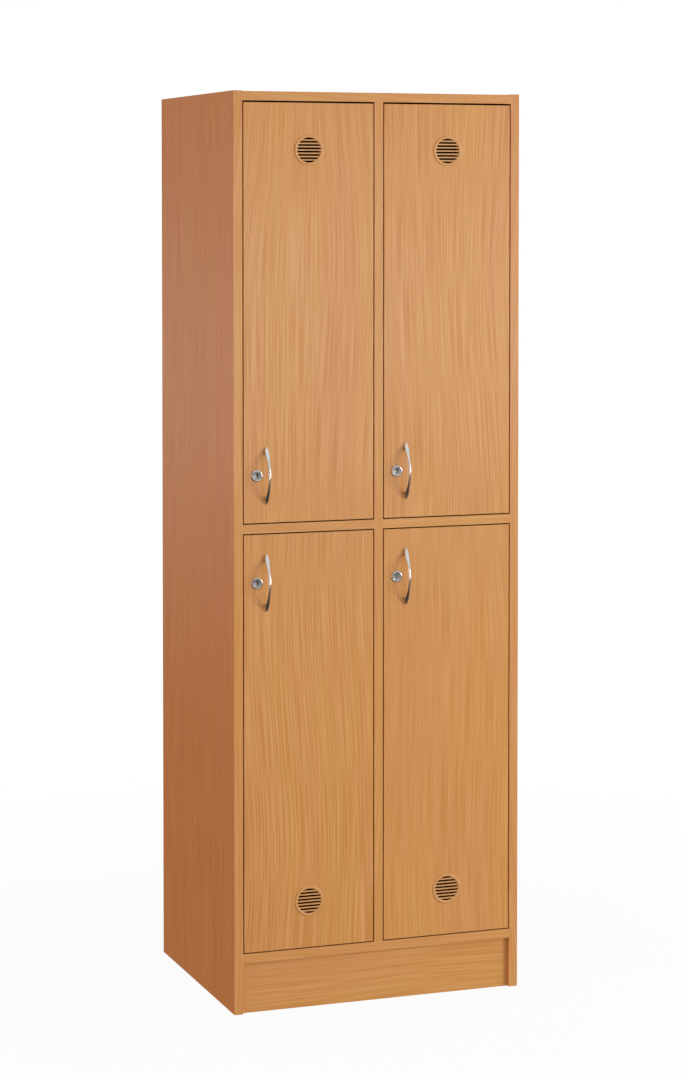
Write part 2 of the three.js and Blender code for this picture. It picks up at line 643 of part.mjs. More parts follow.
/** The lock's case on the door's inner face: coin slot, coin channel and return cup. */
function lockCase() {
  const right = CASE_LEFT + CASE_WIDTH;
  const top = CASE_BOTTOM + CASE_HEIGHT;
  const rear = BOARD + CASE_DEPTH;
  const innerRear = rear - CASE_WALL;
  const shell = cut(
    box([CASE_LEFT, BOARD, CASE_BOTTOM], [right, rear, top]),
    box(
      [CASE_LEFT + CASE_WALL, BOARD - CUT, CASE_BOTTOM + CASE_WALL],
      [right - CASE_WALL, innerRear, top - CASE_WALL],
    ),
  );

  const pocketRight = CUP_POCKET_LEFT + CUP_POCKET_WIDTH;
  const pocketTop = CUP_POCKET_BOTTOM + CUP_POCKET_HEIGHT;
  const pocketFloor = rear - CUP_POCKET_DEPTH;
  const wall = CHANNEL_WALL;
  const channelHalf = CHANNEL_WIDTH / 2;
  const cupBlock = box(
    [CUP_POCKET_LEFT - wall, pocketFloor - wall, CUP_POCKET_BOTTOM - wall],
    [pocketRight + wall, innerRear + CASE_WALL / 2, pocketTop + wall],
  );
  const channelWalls = [-1, 1].map((side) => {
    const near = COIN_SLOT_X + side * channelHalf;
    const far = near + side * wall;
    return box(
      [Math.min(near, far), pocketFloor, pocketTop],
      [Math.max(near, far), innerRear + CASE_WALL / 2, top - CASE_WALL / 2],
    );
  });
  const leverPin = barAlongY(
    LEVER_PIN_RADIUS,
    LEVER_FRONT - LEVER_PIN_OVERHANG,
    innerRear + CASE_WALL / 2,
    LEVER_PIVOT_X,
    LEVER_PIVOT_Z,
    SMALL_ROUND_SIDES,
  );
  const filled = joined(shell, cupBlock, ...channelWalls, leverPin);

  const pocket = box(
    [CUP_POCKET_LEFT, pocketFloor, CUP_POCKET_BOTTOM],
    [pocketRight, rear + CUT, pocketTop],
  );
  const chute = box(
    [COIN_SLOT_X - channelHalf, pocketFloor, pocketTop - CUT],
    [COIN_SLOT_X + channelHalf, innerRear, pocketTop + wall + CUT],
  );
  const slotHalf = COIN_SLOT_WIDTH / 2;
  const coinSlot = box(
    [COIN_SLOT_X - slotHalf, innerRear - CUT, COIN_SLOT_BOTTOM],
    [COIN_SLOT_X + slotHalf, rear + CUT, COIN_SLOT_BOTTOM + COIN_SLOT_HEIGHT],
  );
  const boltWindow = box(
    [CASE_LEFT - CUT, BOLT_FRONT - FIT_GAP, BOLT_BOTTOM - FIT_GAP],
    [CASE_LEFT + CASE_WALL + CUT, BOLT_FRONT + BOLT_THICKNESS + FIT_GAP, BOLT_HEAD_TOP + FIT_GAP],
  );
  return cut(filled, pocket, chute, coinSlot, boltWindow);
}

// ---- Assembly --------------------------------------------------------------------------

/** One door with everything on it, and its two hinge arms on the wall to its right. */
function addDoor(group, name, leftX, bottomZ, topZ, isUpper) {
  const height = topZ - bottomZ;
  const lockZ = isUpper ? UPPER_LOCK_FROM_SHELF : height - LOWER_LOCK_FROM_SHELF;
  const ventZ = isUpper ? height - VENT_FROM_END : VENT_FROM_END;
  const hinges = { low: HINGE_FROM_END, high: height - HINGE_FROM_END };

  const door = new THREE.Group();
  door.position.set(leftX, FRONT, bottomZ);
  group.add(door);
  const panel = doorPanel(height, ventZ, lockZ, Object.values(hinges));
  addPiece(door, `${name}_door_panel`, panel, beech);
  addPiece(
    door,
    `${name}_vent_grille`,
    ventGrille().translate(DOOR_WIDTH / 2, 0, ventZ),
    beechPlastic,
  );
  addPiece(door, `${name}_handle`, handle().translate(HANDLE_X, 0, lockZ), satinNickel);

  const lock = new THREE.Group();
  lock.position.set(LOCK_X, 0, lockZ);
  door.add(lock);
  addPiece(lock, `${name}_lock_cylinder`, lockCylinder(), chrome);
  addPiece(lock, `${name}_lock_plug`, lockPlug(), plugSteel);
  addPiece(lock, `${name}_lock_bolt`, lockBolt(), zincBolt);
  addPiece(lock, `${name}_coin_lever`, coinLever(), zincBolt);
  addPiece(lock, `${name}_lock_case`, lockCase(), casePlastic);

  for (const [end, z] of Object.entries(hinges)) {
    const pivot = new THREE.Group();
    pivot.position.set(DOOR_WIDTH - HINGE_OFFSET, HINGE_DEPTH, z);
    door.add(pivot);
    addPiece(pivot, `${name}_hinge_cup_${end}`, hingeCup(), hingeSteel);
    addPiece(pivot, `${name}_hinge_arm_${end}`, hingeArm(), hingeSteel);
  }
  return bottomZ + lockZ;
}

const locker = new THREE.Group();
const columns = { left: -INNER_X + DOOR_GAP, right: BOARD / 2 + DOOR_GAP };
const lockHeights = new Set();
for (const [column, leftX] of Object.entries(columns)) {
  const upper = `upper_${column}`;
  const lower = `lower_${column}`;
  lockHeights.add(addDoor(locker, upper, leftX, UPPER_DOOR_BOTTOM, UPPER_DOOR_TOP, true));
  lockHeights.add(addDoor(locker, lower, leftX, LOWER_DOOR_BOTTOM, LOWER_DOOR_TOP, false));
}
addCarcass(locker, [...lockHeights]);

export default locker;
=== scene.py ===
"""The looks of a four-compartment coin operated locker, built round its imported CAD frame."""

import json
import math

import bmesh
import bpy
from mathutils import Matrix, Vector


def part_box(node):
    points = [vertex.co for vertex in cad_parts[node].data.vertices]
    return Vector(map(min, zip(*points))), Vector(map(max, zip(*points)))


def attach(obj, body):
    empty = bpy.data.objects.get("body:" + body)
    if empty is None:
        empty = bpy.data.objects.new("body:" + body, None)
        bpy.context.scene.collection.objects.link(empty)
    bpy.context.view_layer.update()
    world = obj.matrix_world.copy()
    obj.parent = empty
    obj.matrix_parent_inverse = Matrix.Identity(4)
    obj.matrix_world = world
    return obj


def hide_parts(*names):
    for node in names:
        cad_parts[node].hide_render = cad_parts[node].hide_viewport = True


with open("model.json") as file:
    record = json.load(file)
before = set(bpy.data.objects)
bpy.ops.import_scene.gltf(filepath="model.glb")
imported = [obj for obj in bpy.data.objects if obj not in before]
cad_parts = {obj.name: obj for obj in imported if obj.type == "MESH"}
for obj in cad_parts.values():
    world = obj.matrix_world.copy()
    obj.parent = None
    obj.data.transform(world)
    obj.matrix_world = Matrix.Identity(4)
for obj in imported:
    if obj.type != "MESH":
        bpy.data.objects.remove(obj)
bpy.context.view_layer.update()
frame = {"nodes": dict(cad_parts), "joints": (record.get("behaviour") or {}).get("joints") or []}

MM = 0.001
DOORS = ("upper_left", "upper_right", "lower_left", "lower_right")
ENDS = ("low", "high")

# ---- Camera ----------------------------------------------------------------------------

CAMERA_PLACE = (-1.9312, -5.3107, 1.5755)
CAMERA_YAW = math.radians(20.025)
CAMERA_PITCH = math.radians(2.205)
CAMERA_LENS = 92.08
CAMERA_SENSOR = 36
CAMERA_SHIFT = -0.21

# ---- Sizes that the frame doesn't hold --------------------------------------------------

CUT_PAST = 1 * MM  # how far a cutting shape runs past the face that it opens
FIT_GAP = 0.3 * MM
BOARD_EDGE = 0.4 * MM  # rounding of an edge-banded board
DOOR_TRIM = 0.5 * MM  # off each edge of a door, so that its gap shows dark at this scale
ROUND_SEGMENTS = 72
WELD_DISTANCE = 0.001 * MM
FLAT_ANGLE = 0.5  # degrees: faces that meet at less are made one
SHARP_ANGLE = 40  # degrees: edges sharper than this are rounded

MORTISE_PLAY = 1 * MM
MORTISE_DEPTH = 9 * MM

VENT_OPEN_RADIUS = 24.4 * MM
VENT_SLOTS = 8
VENT_PITCH = 6.4 * MM
VENT_SLOT_HEIGHT = 3.7 * MM
VENT_SLOT_STEPS = 6
VENT_LIP = 1 * MM
VENT_DISH = 0.9 * MM  # the slotted face lies this much behind the ring's front
VENT_BLADE_DEPTH = 4 * MM
VENT_SPIGOT_WALL = 1.2 * MM
VENT_ROUNDING = 0.35 * MM

BOW_FULLNESS = 1.25  # 1 makes the bow a plain cosine arch, more makes its ends flatter
HANDLE_STATIONS = 64
HANDLE_SECTION = 28
HANDLE_TIP_STANDOFF = 1.5 * MM
HANDLE_TIP_THICKNESS = 2.5 * MM
HANDLE_THICKNESS = 4.5 * MM
HANDLE_LEAF = 4.0 * MM  # half the width of the leaf-shaped ends
HANDLE_WAIST = 2.4 * MM  # half the width at mid-length
HANDLE_TIP = 0.25 * MM
LEAF_MIDDLE = 0.80  # as shares of the bar's half length: where a leaf is widest,
LEAF_SPREAD = 0.22  # how far it spreads either way,
TIP_START = 0.78  # and where the bar starts to narrow to its tip
TIP_SLIMMING = 0.35  # share of the bar's thickness that is left where its width runs out
BACK_FLATNESS = 0.6  # 1 makes the back of the bar round, less makes it flatter
HANDLE_POST_SPACING = 88 * MM
HANDLE_POST_RADIUS = 3.4 * MM
HANDLE_POST_COLLAR = 0.5 * MM
HANDLE_POST_TAPER = 0.5 * MM
HANDLE_POST_BITE = 0.9 * MM  # how far a post runs into the bow

HOUSING_RADIUS = 9.5 * MM
PLUG_RADIUS = 8 * MM
PLUG_PLAY = 0.25 * MM
PLUG_CHAMFER = 0.4 * MM
ROSETTE_LIP = 1.1 * MM
ROSETTE_ROLL = 1.6 * MM  # how far back the lip curves
BORE_BEVEL = 0.5 * MM
KEYWAY_WIDTH = 2.2 * MM
KEYWAY_HEIGHT = 9 * MM
KEYWAY_DEPTH = 12 * MM
KEY_DISH_RADIUS = 6.2 * MM  # shallow cone that guides the key
KEY_DISH_DEPTH = 1.5 * MM

CASE_ROUNDING = 2.5 * MM
COIN_SLOT_WIDTH = 3 * MM
COIN_SLOT_HEIGHT = 27 * MM
COIN_SLOT_FROM_AXIS = (42 * MM, 27 * MM)  # to the right and up
COIN_RIM = 1.6 * MM
COIN_RIM_HEIGHT = 1.2 * MM
CASE_SCREWS = ((7, 75), (7, 7), (78, 75), (46, 6))  # mm from the case's lower left corner
BOLT_ROUNDING = 0.3 * MM
LEVER_ROUNDING = 0.2 * MM

CUP_RADIUS = 17.2 * MM
CUP_WALL = 0.8 * MM
CUP_FLANGE = 1.2 * MM
CUP_FLANGE_RADIUS = 19.5 * MM
CUP_WING_WIDTH = 14 * MM
CUP_SCREW_REACH = 0.8  # share of the half length of the wings
CUP_ROUNDING = 0.5 * MM
PIN_RADIUS = 1 * MM
PLATE_WING_WIDTH = 14 * MM
PLATE_WING_LENGTH = 36 * MM
PLATE_WING_THICKNESS = 1.6 * MM
PLATE_SCREW_REACH = 0.36  # share of the length of the wings
PLATE_FROM_ARM_END = 25 * MM

SCREW_RADIUS = 3.3 * MM
SCREW_HEIGHT = 1.4 * MM
SCREW_RECESS = 0.9 * MM

# ---- Node helpers ----------------------------------------------------------------------


def new_material(name):
    """An empty node material, and the tree to fill."""
    material = bpy.data.materials.new(name)
    material.use_nodes = True
    material.node_tree.nodes.clear()
    return material, material.node_tree


def add_node(tree, kind, inputs=None, **settings):
    """A node with its settings and inputs; an input may be a constant or a node's socket."""
    made = tree.nodes.new(kind)
    for key, value in settings.items():
        setattr(made, key, value)
    for key, value in (inputs or {}).items():
        if isinstance(value, bpy.types.NodeSocket):
            tree.links.new(value, made.inputs[key])
        else:
            made.inputs[key].default_value = value
    return made


def arithmetic(tree, operation, a, b=0.0):
    """The result of a Math node."""
    return add_node(tree, "ShaderNodeMath", {0: a, 1: b}, operation=operation).outputs[0]


def vector_arithmetic(tree, operation, a, b):
    """The result of a Vector Math node."""
    inputs = {0: a, 1: b}
    return add_node(tree, "ShaderNodeVectorMath", inputs, operation=operation).outputs[0]


def object_place(tree, shift=(0, 0, 0), turn=(0, 0, 0)):
    """Object coordinates, turned and then moved."""
    coordinates = add_node(tree, "ShaderNodeTexCoord").outputs["Object"]
    inputs = {"Vector": coordinates, "Location": shift, "Rotation": turn}
    return add_node(tree, "ShaderNodeMapping", inputs).outputs["Vector"]


def noise(tree, place, per_metre, detail=2.0, roughness=0.5, output="Fac"):
    """Noise with its own number of features per metre along each axis."""
    scaled = add_node(tree, "ShaderNodeMapping", {"Vector": place, "Scale": per_metre})
    inputs = {
        "Vector": scaled.outputs["Vector"],
        "Scale": 1.0,
        "Detail": detail,
        "Roughness": roughness,
    }
    return add_node(tree, "ShaderNodeTexNoise", inputs).outputs[output]


def remap(tree, value, low, high, to_low=0.0, to_high=1.0):
    """value from low..high to to_low..to_high, held inside them."""
    inputs = {
        "Value": value,
        "From Min": low,
        "From Max": high,
        "To Min": to_low,
        "To Max": to_high,
    }
    return add_node(tree, "ShaderNodeMapRange", inputs, clamp=True).outputs["Result"]


def mix(tree, factor, a, b, blend="MIX"):
    """Two colours, each a socket or three numbers, mixed by a factor."""
    made = add_node(tree, "ShaderNodeMix", data_type="RGBA", blend_type=blend)
    colours = [socket for socket in made.inputs if socket.type == "RGBA"]
    for socket, value in zip([made.inputs[0], *colours], [factor, a, b]):
        if isinstance(value, bpy.types.NodeSocket):
            tree.links.new(value, socket)
        else:
            socket.default_value = (*value, 1.0) if socket.type == "RGBA" else value
    return next(socket for socket in made.outputs if socket.type == "RGBA")


def shade(tree, colour, roughness, height, bump, **constants):
    """The Principled shader and the output; bump is the relief's full swing in metres."""
    relief = {"Height": height, "Distance": bump, "Strength": 1.0}
    normal = add_node(tree, "ShaderNodeBump", relief).outputs["Normal"]
    inputs = {"Base Color": colour, "Roughness": roughness, "Normal": normal}
    inputs.update({key.replace("_", " "): value for key, value in constants.items()})
    shader = add_node(tree, "ShaderNodeBsdfPrincipled", inputs)
    add_node(tree, "ShaderNodeOutputMaterial", {"Surface": shader.outputs["BSDF"]})


# ---- Materials -------------------------------------------------------------------------

BEECH_YELLOW = (0.624, 0.302, 0.088)
BEECH_PINK = (0.618, 0.284, 0.096)
SIDE_SHADE_TINT = (1.150, 0.940, 0.950)  # painted shade: the side panels' faces that look left or right are tinted redder, for the shade they stand in
LINE_LIGHT = (1.075, 1.130, 1.270)
LINE_DARK = (0.920, 0.845, 0.700)
BAND_DARK = (0.965, 0.935, 0.875)
FIBRE_DARK = (0.975, 0.965, 0.940)
FLECK_DARK = (0.860, 0.780, 0.680)
WHITE = (1.0, 1.0, 1.0)

# The laminate's print: features per metre across the grain, and along it.
DRIFT_SCALE = (3.0, 1.0)
BROAD_SCALE = (12, 0.9)
BAND_SCALE = (60, 1.5)
LINE_SCALE = (450, 5.0)
FIBRE_SCALE = (1300, 26)
FLECK_SCALE = (1100, 190)
LEAN = (0.14, 0, 0)  # how far, in metres, the lines wander sideways
GRAIN_RELIEF = 0.02 * MM

FACING = 0.8  # a face looks along an axis if its normal's share of it is more than this
SHIFT_PER_SEED = (1.37, 0.71, 2.19)  # metres, so that no two boards show the same print


def faces_along(tree, axis):
    """1 on the faces that look along the axis, either way, and 0 on the others."""
    normal = add_node(tree, "ShaderNodeTexCoord").outputs["Normal"]
    share = add_node(tree, "ShaderNodeSeparateXYZ", {0: normal}).outputs[axis]
    return arithmetic(tree, "GREATER_THAN", arithmetic(tree, "ABSOLUTE", share), FACING)


def grain_place(tree, along, shift):
    """The place in the laminate's print: Z along the grain, and X across it on every face
    that runs with the grain. On a face that cuts it, the print follows the edge band."""
    quarter = math.pi / 2
    turns = {"X": (0, quarter, 0), "Z": (0, 0, 0)}
    main = object_place(tree, shift, turns[along])
    banded = object_place(tree, shift, turns["Z" if along == "X" else "X"])
    is_end = faces_along(tree, along)
    chosen = add_node(tree, "ShaderNodeMix", {0: is_end}, data_type="VECTOR")
    sockets = [socket for socket in chosen.inputs if socket.type == "VECTOR"]
    tree.links.new(main, sockets[-2])
    tree.links.new(banded, sockets[-1])
    place = next(socket for socket in chosen.outputs if socket.type == "VECTOR")
    axes = add_node(tree, "ShaderNodeSeparateXYZ", {0: place}).outputs
    across = arithmetic(tree, "ADD", axes["X"], axes["Y"])
    inputs = {"X": across, "Z": axes["Z"]}
    return add_node(tree, "ShaderNodeCombineXYZ", inputs).outputs["Vector"]


def print_noise(tree, place, scale, detail, output="Fac"):
    """Noise in the print, with features per metre across the grain and along it."""
    across, along = scale
    return noise(tree, place, (across, 1, along), detail, output=output)


def beech(name, along, seed, figure, tint=WHITE):
    """Beech-effect laminate: fine wavering lines along the grain over broad pink and yellow
    zones, with short dark flecks. The figure, 0 to 1, is how strongly the lines are marked,
    and the tint is painted shade: a redder shade colour on the faces that look left or right."""
    material, tree = new_material(name)
    place = grain_place(tree, along, [seed * metres for metres in SHIFT_PER_SEED])
    drift = print_noise(tree, place, DRIFT_SCALE, 0.5, "Color")
    bent = vector_arithmetic(tree, "ADD", place, vector_arithmetic(tree, "MULTIPLY", drift, LEAN))

    broad = print_noise(tree, bent, BROAD_SCALE, 2.0)
    bands = print_noise(tree, bent, BAND_SCALE, 2.0)
    lines = print_noise(tree, bent, LINE_SCALE, 0.5)
    fibres = print_noise(tree, bent, FIBRE_SCALE, 1.0)
    flecks = print_noise(tree, bent, FLECK_SCALE, 0.0)

    colour = mix(tree, remap(tree, broad, 0.36, 0.64), BEECH_YELLOW, BEECH_PINK)
    band = mix(tree, remap(tree, bands, 0.40, 0.70), WHITE, BAND_DARK)
    line = mix(tree, remap(tree, lines, 0.40, 0.60), LINE_LIGHT, LINE_DARK)
    line = mix(tree, figure, WHITE, line)
    fibre = mix(tree, remap(tree, fibres, 0.35, 0.65), WHITE, FIBRE_DARK)
    fleck = mix(tree, remap(tree, flecks, 0.68, 0.76), WHITE, FLECK_DARK)
    # painted shade: the faces that look left or right take the tint, a redder shade colour
    painted_side_shade = mix(tree, faces_along(tree, "X"), WHITE, tint)
    for layer in (painted_side_shade, band, line, fibre, fleck):
        colour = mix(tree, 1.0, colour, layer, "MULTIPLY")

    height = arithmetic(tree, "ADD", lines, fibres)
    roughness = remap(tree, height, 0.7, 1.3, 0.23, 0.30)
    shade(tree, colour, roughness, height, GRAIN_RELIEF, IOR=1.45)
    return material


def moulded_beech_plastic():
    """The grilles' beech-coloured plastic, with faint flow streaks and a fine texture."""
    material, tree = new_material("moulded_beech_plastic")
    place = object_place(tree)
    cloud = noise(tree, place, (60, 60, 60), detail=3.0)
    streaks = noise(tree, place, (420, 420, 60), detail=2.0)
    texture = noise(tree, place, (2600, 2600, 2600), detail=1.0)
    colour = mix(tree, cloud, (0.640, 0.325, 0.112), (0.590, 0.280, 0.092))
    streak = mix(tree, remap(tree, streaks, 0.45, 0.75), WHITE, LINE_DARK)
    colour = mix(tree, 1.0, colour, streak, "MULTIPLY")
    roughness = remap(tree, cloud, 0.3, 0.7, 0.34, 0.44)
    shade(tree, colour, roughness, texture, 0.02 * MM, IOR=1.48)
    return material


# Each plated metal: its colour, its colour where dulled, and its least and most roughness.
METALS = {
    "satin_nickel": ((0.80, 0.79, 0.76), (0.66, 0.65, 0.62), 0.20, 0.30),
    "lock_chrome": ((0.58, 0.58, 0.59), (0.46, 0.46, 0.48), 0.10, 0.18),
    "plug_nickel": ((0.33, 0.33, 0.33), (0.26, 0.26, 0.26), 0.36, 0.46),
    "zinc_plate": ((0.55, 0.56, 0.58), (0.42, 0.43, 0.44), 0.30, 0.45),
    "hinge_nickel": ((0.72, 0.72, 0.70), (0.58, 0.58, 0.56), 0.18, 0.30),
}
BRUSH_SCALE = (900, 900, 40)  # features per metre: the brush marks run upright
BRUSH_RELIEF = 0.004 * MM


def plated_metal(name):
    """Plated metal: brushed along one axis, with cloudy handling marks."""
    colour, dull, smooth, rough = METALS[name]
    material, tree = new_material(name)
    place = object_place(tree)
    brushed = noise(tree, place, BRUSH_SCALE, detail=2.0)
    marks = noise(tree, place, (110, 110, 110), detail=4.0, roughness=0.65)
    tint = mix(tree, remap(tree, marks, 0.35, 0.75), colour, dull)
    worn = arithmetic(tree, "ADD", brushed, marks)
    roughness = remap(tree, worn, 0.7, 1.3, smooth, rough)
    shade(tree, tint, roughness, brushed, BRUSH_RELIEF, Metallic=1.0)
    return material


def black_case_plastic():
    """Black moulded plastic with a fine spark-eroded texture and light scuffs."""
    material, tree = new_material("black_case_plastic")
    place = object_place(tree)
    pits = noise(tree, place, (1800, 1800, 1800), detail=2.0, roughness=0.7)
    scuffs = noise(tree, place, (90, 240, 90), detail=4.0, roughness=0.7)
    black = (0.016, 0.016, 0.018)
    scuffed = (0.045, 0.045, 0.047)
    colour = mix(tree, remap(tree, scuffs, 0.5, 0.8), black, scuffed)
    roughness = remap(tree, scuffs, 0.35, 0.7, 0.46, 0.62)
    shade(tree, colour, roughness, pits, 0.05 * MM)
    return material


# ---- Mesh helpers ----------------------------------------------------------------------


def mesh_from(bm, name):
    """The bmesh as a named mesh, its faces turned outwards."""
    mesh = bpy.data.meshes.new(name)
    bmesh.ops.recalc_face_normals(bm, faces=bm.faces)
    bm.to_mesh(mesh)
    bm.free()
    return mesh


def smooth_below(mesh, degrees=35):
    """Smooth shading, with edges sharper than the angle kept crisp."""
    bm = bmesh.new()
    bm.from_mesh(mesh)
    limit = math.radians(degrees)
    for face in bm.faces:
        face.smooth = True
    for edge in bm.edges:
        edge.smooth = len(edge.link_faces) == 2 and edge.calc_face_angle() < limit
    bm.to_mesh(mesh)
    bm.free()
    return mesh


def block(name, low, high, rounding=0.0, segments=2):
    """A box from one corner to the other, its edges rounded."""
    low = Vector(low)
    size = Vector(high) - low
    place = Matrix.Translation(low + size / 2) @ Matrix.Diagonal((*size, 1.0))
    bm = bmesh.new()
    bmesh.ops.create_cube(bm, size=1.0, matrix=place)
    if rounding:
        edges = bm.edges[:]
        bmesh.ops.bevel(bm, geom=edges, offset=rounding, segments=segments, profile=0.5)
    return mesh_from(bm, name)


def lathe(name, profile, centre, segments=ROUND_SEGMENTS):
    """A turned piece round the line through centre along Y; the profile is a list of
    (radius, y), closed on itself unless it starts and ends on the axis."""
    bm = bmesh.new()
    rings = []
    for radius, y in profile:
        angles = [2 * math.pi * i / segments for i in range(segments if radius > 0 else 1)]
        spots = [(radius * math.cos(a), y, radius * math.sin(a)) for a in angles]
        rings.append([bm.verts.new((centre.x + x, y, centre.z + z)) for x, y, z in spots])
    if profile[0][0] > 0:
        rings.append(rings[0])
    for near, far in zip(rings, rings[1:]):
        for i in range(segments):
            j = i + 1
            corners = [near[i % len(near)], far[i % len(far)], far[j % len(far)], near[j % len(near)]]
            bm.faces.new(list(dict.fromkeys(corners)))
    return smooth_below(mesh_from(bm, name), 40)


def bar_along_y(radius, x, z, near, far, segments=ROUND_SEGMENTS):
    """A plain round bar along Y between two depths."""
    profile = [(0, near), (radius, near), (radius, far), (0, far)]
    return lathe("bar", profile, Vector((x, 0, z)), segments)


def bar_along_z(radius, x, y, low, high, segments=24):
    """A plain round bar along Z between two heights."""
    bm = bmesh.new()
    place = Matrix.Translation((x, y, (low + high) / 2))
    bmesh.ops.create_cone(
        bm,
        cap_ends=True,
        segments=segments,
        radius1=radius,
        radius2=radius,
        depth=high - low,
        matrix=place,
    )
    return mesh_from(bm, "bar")


def as_object(mesh):
    """The mesh on an object of its own, in the scene."""
    thing = bpy.data.objects.new(mesh.name, mesh)
    bpy.context.scene.collection.objects.link(thing)
    return thing


def applied(target, tools, name):
    """The target's mesh with its modifiers applied; the objects used are removed."""
    bpy.context.view_layer.update()
    graph = bpy.context.evaluated_depsgraph_get()
    result = bpy.data.meshes.new_from_object(target.evaluated_get(graph))
    result.name = name
    for used in (target, *tools):
        bpy.data.objects.remove(used)
    return result


def combine(mesh, others, operation):
    """mesh after a boolean step with each of the others: DIFFERENCE, UNION or INTERSECT."""
    target = as_object(mesh)
    tools = [as_object(other) for other in others]
    for tool in tools:
        step = target.modifiers.new("boolean", "BOOLEAN")
        step.operation = operation
        step.solver = "EXACT"
        step.object = tool
    return applied(target, tools, mesh.name)


def rounded(mesh, width, segments=2, degrees=SHARP_ANGLE):
    """mesh with every edge sharper than the angle rounded."""
    target = as_object(mesh)
    step = target.modifiers.new("bevel", "BEVEL")
    step.width = width
    step.segments = segments
    step.limit_method = "ANGLE"
    step.angle_limit = math.radians(degrees)
    return applied(target, [], mesh.name)


def gathered(name, meshes):
    """Separate closed meshes as one."""
    bm = bmesh.new()
    for mesh in meshes:
        bm.from_mesh(mesh)
    return smooth_below(mesh_from(bm, name), 40)


def cad_mesh(node):
    """A copy of a CAD node's mesh, welded, with its flat faces whole again."""
    bm = bmesh.new()
    bm.from_mesh(frame["nodes"][node].data)
    bmesh.ops.remove_doubles(bm, verts=bm.verts, dist=WELD_DISTANCE)
    flat = math.radians(FLAT_ANGLE)
    bmesh.ops.dissolve_limit(bm, angle_limit=flat, verts=bm.verts, edges=bm.edges)
    return mesh_from(bm, node)


def show(name, mesh, material, body, slot, *nodes):
    """A finished piece that rides on a body and stands for the CAD nodes."""
    mesh.materials.clear()
    mesh.materials.append(material)
    piece = bpy.data.objects.new(name, mesh)
    bpy.context.scene.collection.objects.link(piece)
    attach(piece, body)
    if nodes:
        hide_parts(*nodes)


def middle(node):
    """The middle of a CAD node's box."""
    low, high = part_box(node)
    return (low + high) / 2


# ---- Carcass ---------------------------------------------------------------------------

CARCASS_GRAIN = {
    "side_panel_left": "Z",
    "side_panel_right": "Z",
    "centre_partition": "Z",
    "back_panel": "Z",
    "top_panel": "X",
    "bottom_panel": "X",
    "shelf_left": "X",
    "shelf_right": "X",
    "plinth_board": "X",
    "plinth_rear_board": "X",
}
CARCASS_FIGURE = 0.74
GROOVED = ("side_panel_left", "side_panel_right", "top_panel", "bottom_panel")


def mortise_cutters(wall):
    """A cutter for each bolt that shoots into the wall from its right."""
    wall_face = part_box(wall)[1].x
    cutters = []
    for door in DOORS:
        low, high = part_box(f"{door}_lock_bolt")
        if 0 < low.x - wall_face < MORTISE_DEPTH:
            start = (wall_face - MORTISE_DEPTH, low.y - MORTISE_PLAY, low.z - MORTISE_PLAY)
            end = (wall_face + CUT_PAST, high.y + MORTISE_PLAY, high.z + MORTISE_PLAY)
            cutters.append(block("mortise", start, end))
    return cutters


def groove_cutter():
    """The back panel's groove, as a cutter for the boards around it."""
    gap = Vector((FIT_GAP, FIT_GAP, FIT_GAP))
    low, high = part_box("back_panel")
    return block("groove", low - gap, high + gap)


def make_carcass():
    """The boards, each with its own print, with the back's groove and the bolts' mortises."""
    for seed, (node, along) in enumerate(CARCASS_GRAIN.items()):
        board = block(node, *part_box(node), rounding=BOARD_EDGE)
        cutters = mortise_cutters(node)
        if node in GROOVED:
            cutters.append(groove_cutter())
        if cutters:
            board = combine(board, cutters, "DIFFERENCE")
        # painted shade: only the side panels get the redder shade tint on their left- and
        # right-facing faces
        tint = SIDE_SHADE_TINT if node.startswith("side") else WHITE
        material = beech(f"beech_{node}", along, seed + 1, CARCASS_FIGURE, tint)
        show(f"{node}_finished", board, material, "carcass", "board", node)


# ---- Doors -----------------------------------------------------------------------------

DOOR_FIGURE = {"upper_left": 0.88, "upper_right": 1.0, "lower_left": 1.0, "lower_right": 0.72}
FIRST_DOOR_SEED = 20
DOOR_SEED_STEP = 3


def make_door_panel(door, seed):
    """The door's board, bored for the grille, the lock and the hinge cups."""
    node = f"{door}_door_panel"
    low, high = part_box(node)
    trim = Vector((DOOR_TRIM, 0, DOOR_TRIM))
    board = block(node, low + trim, high - trim, rounding=BOARD_EDGE)
    front = low.y - CUT_PAST
    rear = high.y + CUT_PAST
    vent = middle(f"{door}_vent_grille")
    lock = middle(f"{door}_lock_cylinder")
    vent_bore = VENT_OPEN_RADIUS + VENT_SPIGOT_WALL + 2 * FIT_GAP
    bores = [
        bar_along_y(vent_bore, vent.x, vent.z, front, rear),
        bar_along_y(HOUSING_RADIUS + FIT_GAP, lock.x, lock.z, front, rear),
    ]
    for end in ENDS:
        cup = middle(f"{door}_hinge_cup_{end}")
        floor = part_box(f"{door}_hinge_cup_{end}")[0].y - FIT_GAP
        bores.append(bar_along_y(CUP_RADIUS + FIT_GAP, cup.x, cup.z, floor, rear))
    board = combine(board, bores, "DIFFERENCE")
    material = beech(f"beech_{node}", "Z", seed, DOOR_FIGURE[door])
    show(f"{node}_finished", board, material, f"{door}_door", "board", node)


# ---- Ventilation grille ----------------------------------------------------------------


def slot_cutter(index, centre, front, rear):
    """A cutter for one level slot whose ends follow the grille's circle."""
    middle_z = (index - (VENT_SLOTS - 1) / 2) * VENT_PITCH
    parts = [i / VENT_SLOT_STEPS for i in range(VENT_SLOT_STEPS + 1)]
    levels = [middle_z + VENT_SLOT_HEIGHT * (part - 0.5) for part in parts]
    reaches = [math.sqrt(VENT_OPEN_RADIUS**2 - level**2) for level in levels]
    edge = list(zip(reaches, levels))
    edge += [(-reach, level) for reach, level in reversed(edge)]
    bm = bmesh.new()
    near = [bm.verts.new((centre.x + x, front, centre.z + z)) for x, z in edge]
    far = [bm.verts.new((centre.x + x, rear, centre.z + z)) for x, z in edge]
    bm.faces.new(near)
    bm.faces.new(far[::-1])
    for i in range(len(edge)):
        j = (i + 1) % len(edge)
        bm.faces.new((near[i], far[i], far[j], near[j]))
    return mesh_from(bm, "slot")


